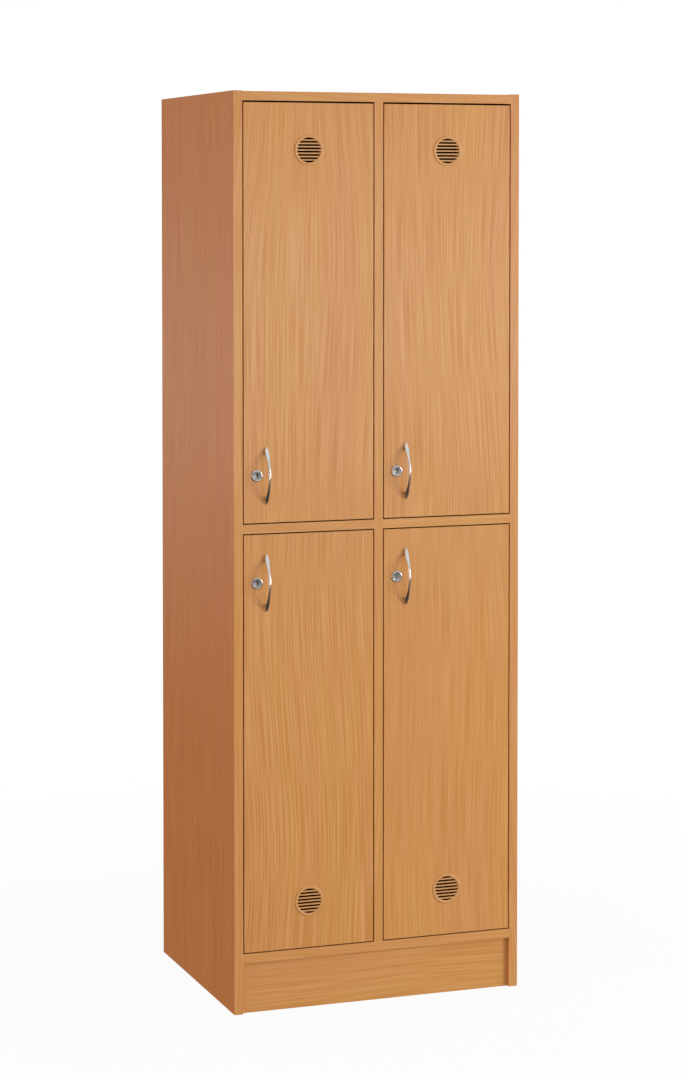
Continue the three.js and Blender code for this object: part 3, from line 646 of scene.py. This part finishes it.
def make_grille(door, plastic):
    """A round ring with a rolled edge, a slotted face sunk in it, and a spigot behind."""
    node = f"{door}_vent_grille"
    low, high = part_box(node)
    centre = (low + high) / 2
    outer = (high.x - low.x) / 2
    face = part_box(f"{door}_door_panel")[0].y
    proud = face - low.y
    dish = low.y + VENT_DISH
    opening = VENT_OPEN_RADIUS
    spigot = opening + VENT_SPIGOT_WALL + FIT_GAP
    profile = [
        (0, dish),
        (opening + 0.6 * VENT_LIP, dish),
        (opening + 1.3 * VENT_LIP, low.y + 0.1 * proud),
        (opening + 1.9 * VENT_LIP, low.y),
        (outer - 1.5 * VENT_LIP, low.y),
        (outer - 0.6 * VENT_LIP, low.y + 0.2 * proud),
        (outer - 0.15 * VENT_LIP, low.y + 0.55 * proud),
        (outer, face),
        (spigot, face),
        (spigot, high.y),
        (spigot - VENT_SPIGOT_WALL, high.y),
        (spigot - VENT_SPIGOT_WALL, dish + VENT_BLADE_DEPTH),
        (0, dish + VENT_BLADE_DEPTH),
    ]
    body = lathe(node, profile, centre)
    front = low.y - CUT_PAST
    rear = high.y + CUT_PAST
    slots = [slot_cutter(i, centre, front, rear) for i in range(VENT_SLOTS)]
    body = rounded(combine(body, slots, "DIFFERENCE"), VENT_ROUNDING)
    smooth_below(body)
    show(f"{node}_finished", body, plastic, f"{door}_door", "vent_plastic", node)


# ---- Bow handle ------------------------------------------------------------------------


def bow_height(z, half_span, rise):
    """How far the bow rises at height z: most at mid-length, flattening towards the tips."""
    return rise * max(0.0, math.cos(math.pi * z / (2 * half_span))) ** BOW_FULLNESS


def leaf_half_width(part):
    """Half the bar's width; part runs from 0 at mid-length to 1 at a tip."""
    swell = math.exp(-(((part - LEAF_MIDDLE) / LEAF_SPREAD) ** 2))
    width = HANDLE_WAIST + (HANDLE_LEAF - HANDLE_WAIST) * swell
    taper = max(0.0, (part - TIP_START) / (1 - TIP_START))
    return HANDLE_TIP + (width - HANDLE_TIP) * math.sqrt(max(0.0, 1 - taper**2))


def handle_section(centre, z, half_width, inner, outer, face):
    """The points of one cross-section: a rounded front, flatter behind."""
    points = []
    for k in range(HANDLE_SECTION):
        angle = 2 * math.pi * k / HANDLE_SECTION
        across = half_width * math.cos(angle)
        lift = math.sin(angle)
        lift = lift if lift > 0 else -((-lift) ** BACK_FLATNESS)
        out = (outer + inner) / 2 + (outer - inner) / 2 * lift
        points.append((centre.x + across, face - out, z))
    return points


def handle_bow(centre, half, face, outer_base, outer_rise, inner_rise):
    """The bow itself: cross-sections along its curve, closer together near the tips."""
    bm = bmesh.new()
    rings = []
    for i in range(HANDLE_STATIONS + 1):
        along = -math.cos(math.pi * i / HANDLE_STATIONS)
        z = along * half
        outer = outer_base + bow_height(z, half, outer_rise)
        inner = HANDLE_TIP_STANDOFF + bow_height(z, half, inner_rise)
        half_width = leaf_half_width(abs(along))
        slim = min(1.0, TIP_SLIMMING + (1 - TIP_SLIMMING) * half_width / HANDLE_WAIST)
        inner = outer - (outer - inner) * slim
        section = handle_section(centre, centre.z + z, half_width, inner, outer, face)
        rings.append([bm.verts.new(point) for point in section])
    for below, above in zip(rings, rings[1:]):
        for k in range(HANDLE_SECTION):
            j = (k + 1) % HANDLE_SECTION
            bm.faces.new((below[k], below[j], above[j], above[k]))
    bm.faces.new(rings[0])
    bm.faces.new(rings[-1])
    return mesh_from(bm, "bow")


def handle_post(centre, z, face, reach):
    """A post from the door's face to the middle of the bow, on a small collar."""
    radius = HANDLE_POST_RADIUS
    collar = HANDLE_POST_COLLAR
    taper = HANDLE_POST_TAPER
    profile = [
        (0, face),
        (radius, face),
        (radius, face - collar),
        (radius - 0.5 * taper, face - 1.8 * collar),
        (radius - 0.8 * taper, face - 0.5 * reach),
        (radius - taper, face - reach),
        (0, face - reach),
    ]
    return lathe("post", profile, Vector((centre.x, 0, centre.z + z)), segments=36)


def make_handle(door, metal):
    """The arched bar on its two posts."""
    node = f"{door}_handle"
    low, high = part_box(node)
    centre = (low + high) / 2
    half = (high.z - low.z) / 2
    face = high.y
    projection = face - low.y
    outer_base = HANDLE_TIP_STANDOFF + HANDLE_TIP_THICKNESS
    outer_rise = projection - outer_base
    inner_rise = projection - HANDLE_THICKNESS - HANDLE_TIP_STANDOFF
    bow = handle_bow(centre, half, face, outer_base, outer_rise, inner_rise)
    posts = []
    for side in (-1, 1):
        z = side * HANDLE_POST_SPACING / 2
        inner = HANDLE_TIP_STANDOFF + bow_height(z, half, inner_rise)
        posts.append(handle_post(centre, z, face, inner + HANDLE_POST_BITE))
    whole = combine(bow, posts, "UNION")
    whole.name = node
    smooth_below(whole, 60)
    show(f"{node}_finished", whole, metal, f"{door}_door", "handle_metal", node)


# ---- Lock ------------------------------------------------------------------------------


def make_lock_cylinder(door, chrome):
    """The rosette with its rolled lip, and the housing behind it."""
    node = f"{door}_lock_cylinder"
    low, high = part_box(node)
    outer = (high.x - low.x) / 2
    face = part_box(f"{door}_door_panel")[0].y
    bore = PLUG_RADIUS + PLUG_PLAY
    profile = [
        (bore, low.y + BORE_BEVEL),
        (bore + 0.5 * BORE_BEVEL, low.y + 0.24 * BORE_BEVEL),
        (bore + 1.4 * BORE_BEVEL, low.y),
        (outer - 1.4 * ROSETTE_LIP, low.y),
        (outer - 0.75 * ROSETTE_LIP, low.y + 0.125 * ROSETTE_ROLL),
        (outer - 0.25 * ROSETTE_LIP, low.y + 0.5 * ROSETTE_ROLL),
        (outer, low.y + ROSETTE_ROLL),
        (outer, face),
        (HOUSING_RADIUS, face),
        (HOUSING_RADIUS, high.y),
        (bore, high.y),
    ]
    body = smooth_below(lathe(node, profile, middle(node)), 50)
    show(f"{node}_finished", body, chrome, f"{door}_door", "lock_chrome", node)


def make_plug(door, nickel):
    """The turning core: a round face with a shallow cone round the keyway, and the CAD
    collar and pinion behind it."""
    node = f"{door}_lock_plug"
    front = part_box(node)[0].y
    centre = middle(node)
    housing_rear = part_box(f"{door}_lock_cylinder")[1].y
    profile = [
        (0, front),
        (PLUG_RADIUS - PLUG_CHAMFER, front),
        (PLUG_RADIUS, front + PLUG_CHAMFER),
        (PLUG_RADIUS, housing_rear),
        (0, housing_rear),
    ]
    core = lathe("core", profile, centre)
    floor = front + KEY_DISH_DEPTH
    slope = KEY_DISH_RADIUS / KEY_DISH_DEPTH
    rim = KEY_DISH_RADIUS + slope * CUT_PAST
    cone = lathe("cone", [(0, floor), (rim, front - CUT_PAST), (0, front - CUT_PAST)], centre)
    keyway = block(
        "keyway",
        (centre.x - KEYWAY_WIDTH / 2, front - CUT_PAST, centre.z - KEYWAY_HEIGHT / 2),
        (centre.x + KEYWAY_WIDTH / 2, front + KEYWAY_DEPTH, centre.z + KEYWAY_HEIGHT / 2),
    )
    plug = combine(cad_mesh(node), [core], "UNION")
    plug = smooth_below(combine(plug, [cone, keyway], "DIFFERENCE"), 30)
    show(f"{node}_finished", plug, nickel, node, "plug_steel", node)


def make_lock_case(door, plastic):
    """The case with rounded outer edges and a raised rim round the coin slot."""
    node = f"{door}_lock_case"
    low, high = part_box(node)
    axis = middle(f"{door}_lock_plug")
    hull = block("hull", low - Vector((0, CASE_ROUNDING, 0)), high, CASE_ROUNDING, segments=4)
    case = combine(cad_mesh(node), [hull], "INTERSECT")
    slot_x = axis.x + COIN_SLOT_FROM_AXIS[0]
    slot_z = axis.z + COIN_SLOT_FROM_AXIS[1]
    half_x = COIN_SLOT_WIDTH / 2
    half_z = COIN_SLOT_HEIGHT / 2
    rim = block(
        "rim",
        (slot_x - half_x - COIN_RIM, high.y - COIN_RIM_HEIGHT, slot_z - half_z - COIN_RIM),
        (slot_x + half_x + COIN_RIM, high.y + COIN_RIM_HEIGHT, slot_z + half_z + COIN_RIM),
        rounding=COIN_RIM_HEIGHT / 2,
    )
    opening = block(
        "opening",
        (slot_x - half_x, high.y - 2 * COIN_RIM_HEIGHT, slot_z - half_z),
        (slot_x + half_x, high.y + 2 * COIN_RIM_HEIGHT, slot_z + half_z),
    )
    case = combine(combine(case, [rim], "UNION"), [opening], "DIFFERENCE")
    smooth_below(case, 30)
    show(f"{node}_finished", case, plastic, f"{door}_door", "case_plastic", node)


# ---- Hinges and screws -----------------------------------------------------------------


def hinge_pivot(door):
    """A point on the door's hinge axis."""
    name = f"{door}_door_swing"
    return next(Vector(joint["pos_m"]) for joint in frame["joints"] if joint["name"] == name)


def make_hinge_cup(door, end, steel):
    """The pressed cup with its flange, its fixing wings and the pivot pin."""
    node = f"{door}_hinge_cup_{end}"
    low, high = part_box(node)
    centre = (low + high) / 2
    flange = high.y - CUP_FLANGE
    bore = CUP_RADIUS - CUP_WALL
    soft = CUP_ROUNDING
    profile = [
        (0, low.y),
        (CUP_RADIUS - 3 * soft, low.y),
        (CUP_RADIUS, low.y + 3 * soft),
        (CUP_RADIUS, flange),
        (CUP_FLANGE_RADIUS, flange),
        (CUP_FLANGE_RADIUS, high.y - soft),
        (CUP_FLANGE_RADIUS - soft, high.y),
        (bore + soft, high.y),
        (bore, high.y - soft),
        (bore, low.y + CUP_WALL + 2 * soft),
        (bore - 2 * soft, low.y + CUP_WALL),
        (0, low.y + CUP_WALL),
    ]
    cup = lathe(node, profile, centre)
    wing_low = (centre.x - CUP_WING_WIDTH / 2, flange, low.z)
    wing_high = (centre.x + CUP_WING_WIDTH / 2, high.y, high.z)
    wings = block("wings", wing_low, wing_high, soft)
    hollow = bar_along_y(bore, centre.x, centre.z, flange - CUT_PAST, high.y + CUT_PAST)
    wings = combine(wings, [hollow], "DIFFERENCE")
    pivot = hinge_pivot(door)
    pin = bar_along_z(PIN_RADIUS, pivot.x, pivot.y, centre.z - bore, centre.z + bore)
    cup = smooth_below(combine(cup, [wings, pin], "UNION"), 40)
    show(f"{node}_finished", cup, steel, f"{door}_door", "hinge_steel", node)


def plate_middle(door, end):
    """The middle of a hinge's mounting plate, on the face of the wall to the door's right."""
    low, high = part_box(f"{door}_hinge_arm_{end}")
    return Vector((high.x, high.y - PLATE_FROM_ARM_END, (low.z + high.z) / 2))


def make_hinge_arm(door, end, steel):
    """The CAD arm with softened edges, on a mounting plate with a wing above and below."""
    node = f"{door}_hinge_arm_{end}"
    spot = plate_middle(door, end)
    half = Vector((0, PLATE_WING_WIDTH / 2, PLATE_WING_LENGTH / 2))
    thickness = Vector((PLATE_WING_THICKNESS, 0, 0))
    wings = block("wings", spot - half - thickness, spot + half, CUP_ROUNDING)
    arm = rounded(cad_mesh(node), CUP_ROUNDING / 2, degrees=50)
    arm = smooth_below(combine(arm, [wings], "UNION"), 35)
    show(f"{node}_finished", arm, steel, "carcass", "hinge_steel", node)


def screw_head():
    """A pan head with a cross recess, its seat at the origin and its top towards +Y."""
    radius = SCREW_RADIUS
    height = SCREW_HEIGHT
    profile = [
        (0, 0),
        (radius, 0),
        (radius, 0.35 * height),
        (0.85 * radius, 0.75 * height),
        (0.5 * radius, height),
        (0, height),
    ]
    head = lathe("screw", profile, Vector((0, 0, 0)), segments=32)
    long = 0.55 * radius
    short = 0.13 * radius
    floor = height - SCREW_RECESS
    cross = [
        block("cross", (-x, floor, -z), (x, height + CUT_PAST, z))
        for x, z in ((long, short), (short, long))
    ]
    return combine(head, cross, "DIFFERENCE")


def screw_at(head, place, axis):
    """A copy of the screw head, its seat at the place and its top towards the axis."""
    copy = head.copy()
    turn = Vector((0, 1, 0)).rotation_difference(Vector(axis)).to_matrix().to_4x4()
    copy.transform(Matrix.Translation(place) @ turn)
    return copy


def make_door_screws(door, head, steel):
    """The screws on the door's inner side: in the hinge wings, the lock case and the handle."""
    spots = []
    for end in ENDS:
        low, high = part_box(f"{door}_hinge_cup_{end}")
        reach = CUP_SCREW_REACH * (high.z - low.z) / 2
        centre = (low + high) / 2
        spots += [(centre.x, high.y, centre.z + side * reach) for side in (-1, 1)]
    low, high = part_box(f"{door}_lock_case")
    spots += [(low.x + x * MM, high.y, low.z + z * MM) for x, z in CASE_SCREWS]
    handle = middle(f"{door}_handle")
    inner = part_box(f"{door}_door_panel")[1].y
    spots.append((handle.x, inner, handle.z - HANDLE_POST_SPACING / 2))
    screws = [screw_at(head, spot, (0, 1, 0)) for spot in spots]
    mesh = gathered(f"{door}_door_screws", screws)
    show(f"{door}_door_screws", mesh, steel, f"{door}_door", "hinge_steel")


def make_plate_screws(head, steel):
    """Two screws in each hinge's mounting plate."""
    screws = []
    for door in DOORS:
        for end in ENDS:
            spot = plate_middle(door, end) - Vector((PLATE_WING_THICKNESS, 0, 0))
            for side in (-1, 1):
                rise = Vector((0, 0, side * PLATE_SCREW_REACH * PLATE_WING_LENGTH))
                screws.append(screw_at(head, spot + rise, (-1, 0, 0)))
    mesh = gathered("hinge_plate_screws", screws)
    show("hinge_plate_screws", mesh, steel, "carcass", "hinge_steel")


def finish_cad_node(node, material, softness):
    """A CAD node kept as it is: procedural material and softened edges."""
    piece = frame["nodes"][node]
    piece.data.materials.clear()
    piece.data.materials.append(material)
    weld = piece.modifiers.new("weld", "WELD")
    weld.merge_threshold = WELD_DISTANCE
    bevel = piece.modifiers.new("bevel", "BEVEL")
    bevel.width = softness
    bevel.segments = 2
    bevel.limit_method = "ANGLE"
    bevel.angle_limit = math.radians(SHARP_ANGLE)


# ---- Stage, light and camera -----------------------------------------------------------

FLOOR_HALF = 12
FLOOR_GLOW = 0.93  # the share of the floor's white that doesn't depend on the lights
FADE_START = 0.8  # how far from the middle, in metres, the floor starts to fade to white,
FADE_END = 2.0  # and where it is all white
FLOOR_DARK = (0.90, 0.90, 0.90)
FLOOR_LIGHT = (0.94, 0.94, 0.94)


def make_floor():
    """A pale floor that fades into the white surround away from the locker."""
    bm = bmesh.new()
    bmesh.ops.create_grid(bm, x_segments=1, y_segments=1, size=FLOOR_HALF)
    floor = as_object(mesh_from(bm, "floor"))
    material, tree = new_material("pale_floor")
    place = add_node(tree, "ShaderNodeTexCoord").outputs["Object"]
    length = add_node(tree, "ShaderNodeVectorMath", {0: place}, operation="LENGTH")
    fade = remap(tree, length.outputs["Value"], FADE_START, FADE_END, FLOOR_GLOW, 1.0)
    mottle = noise(tree, place, (3, 3, 3), detail=2.0)
    tint = mix(tree, mottle, FLOOR_DARK, FLOOR_LIGHT)
    pale = add_node(tree, "ShaderNodeBsdfDiffuse", {"Color": tint})
    white = add_node(tree, "ShaderNodeEmission", {"Color": (1, 1, 1, 1), "Strength": 1.0})
    inputs = {0: fade, 1: pale.outputs[0], 2: white.outputs[0]}
    blend = add_node(tree, "ShaderNodeMixShader", inputs)
    add_node(tree, "ShaderNodeOutputMaterial", {"Surface": blend.outputs[0]})
    floor.data.materials.append(material)
    floor.visible_glossy = False
    floor.visible_diffuse = False


DOME_ABOVE = (0.62, 0.62, 0.62)
DOME_BELOW = (0.46, 0.44, 0.44)
SOFT_EDGE = 0.2  # half the width of a change in the surround, in a direction's height or depth

# What shiny things reflect: (height of the direction, colour), from below to above.
GLOSS_FRONT = (
    (-0.85, (0.05, 0.04, 0.03)),
    (-0.45, (0.30, 0.21, 0.14)),
    (-0.17, (0.30, 0.21, 0.14)),
    (-0.06, (0.50, 0.50, 0.50)),
    (0.04, (0.12, 0.12, 0.12)),
    (0.60, (0.85, 0.85, 0.85)),
)
GLOSS_REAR = ((-0.17, (0.02, 0.02, 0.02)), *GLOSS_FRONT[3:])


def gradient(tree, value, stops):
    """The colour at a value between the stops."""
    colour = stops[0][1]
    for (low, _), (high, next_colour) in zip(stops, stops[1:]):
        colour = mix(tree, remap(tree, value, low, high), colour, next_colour)
    return colour


def make_world():
    """A white surround to the camera, a soft dome as light, and, in reflections, a pale
    horizon over a darker floor, which gives the metal its contrast."""
    world = bpy.data.worlds.new("studio")
    bpy.context.scene.world = world
    world.use_nodes = True
    tree = world.node_tree
    tree.nodes.clear()
    direction = add_node(tree, "ShaderNodeTexCoord").outputs["Generated"]
    axes = add_node(tree, "ShaderNodeSeparateXYZ", {0: direction}).outputs
    height = axes["Z"]
    dome = mix(tree, remap(tree, height, -SOFT_EDGE, SOFT_EDGE), DOME_BELOW, DOME_ABOVE)
    front = gradient(tree, height, GLOSS_FRONT)
    rear = gradient(tree, height, GLOSS_REAR)
    gloss = mix(tree, remap(tree, axes["Y"], -SOFT_EDGE, SOFT_EDGE), front, rear)
    path = add_node(tree, "ShaderNodeLightPath").outputs
    colour = mix(tree, path["Is Glossy Ray"], dome, gloss)
    colour = mix(tree, path["Is Camera Ray"], colour, WHITE)
    background = add_node(tree, "ShaderNodeBackground", {"Color": colour, "Strength": 1.0})
    add_node(tree, "ShaderNodeOutputWorld", {"Surface": background.outputs[0]})


# Each softbox: its place, what it points at, its width and height, its watts, its colour.
SOFTBOXES = {
    "front_softbox": ((1.5, -4.2, 1.2), (0, -0.2, 1.2), (2.4, 1.1), 19, WHITE),
    "key_softbox": ((6.0, -5.0, 1.8), (0, 0, 0.9), (3.0, 3.0), 350, WHITE),
    "left_softbox": ((-5.0, -1.0, 0.8), (-0.3, 0, 0.9), (2.0, 2.0), 50, (1.0, 0.72, 0.62)),
}


def add_softbox(name, place, target, size, power, colour):
    """A rectangular light that the camera doesn't see."""
    light = bpy.data.lights.new(name, "AREA")
    light.shape = "RECTANGLE"
    light.size, light.size_y = size
    light.energy = power
    light.color = colour
    lamp = bpy.data.objects.new(name, light)
    lamp.location = place
    lamp.rotation_euler = (Vector(target) - Vector(place)).to_track_quat("-Z", "Y").to_euler()
    lamp.visible_camera = False
    bpy.context.scene.collection.objects.link(lamp)


def make_camera():
    """The camera, nearly level, with its lens shifted so that upright edges stay upright."""
    data = bpy.data.cameras.new("camera")
    data.sensor_width = CAMERA_SENSOR
    data.lens = CAMERA_LENS
    data.shift_y = CAMERA_SHIFT
    camera = bpy.data.objects.new("camera", data)
    camera.location = CAMERA_PLACE
    camera.rotation_euler = (math.pi / 2 - CAMERA_PITCH, 0, -CAMERA_YAW)
    bpy.context.scene.collection.objects.link(camera)
    bpy.context.scene.camera = camera


def make_stage():
    """Everything round the locker."""
    make_floor()
    make_world()
    for name, softbox in SOFTBOXES.items():
        add_softbox(name, *softbox)
    make_camera()
    bpy.context.scene.view_settings.view_transform = "Standard"


# ---- The whole locker ------------------------------------------------------------------


def main():
    """The stage, then the carcass, then each door with what it carries."""
    make_stage()
    make_carcass()
    plastic = moulded_beech_plastic()
    metal = {name: plated_metal(name) for name in METALS}
    hinge = metal["hinge_nickel"]
    case = black_case_plastic()
    head = screw_head()
    for index, door in enumerate(DOORS):
        make_door_panel(door, FIRST_DOOR_SEED + DOOR_SEED_STEP * index)
        make_grille(door, plastic)
        make_handle(door, metal["satin_nickel"])
        make_lock_cylinder(door, metal["lock_chrome"])
        make_plug(door, metal["plug_nickel"])
        make_lock_case(door, case)
        finish_cad_node(f"{door}_lock_bolt", metal["zinc_plate"], BOLT_ROUNDING)
        finish_cad_node(f"{door}_coin_lever", metal["zinc_plate"], LEVER_ROUNDING)
        for end in ENDS:
            make_hinge_cup(door, end, hinge)
            make_hinge_arm(door, end, hinge)
        make_door_screws(door, head, hinge)
    make_plate_screws(head, hinge)


main()
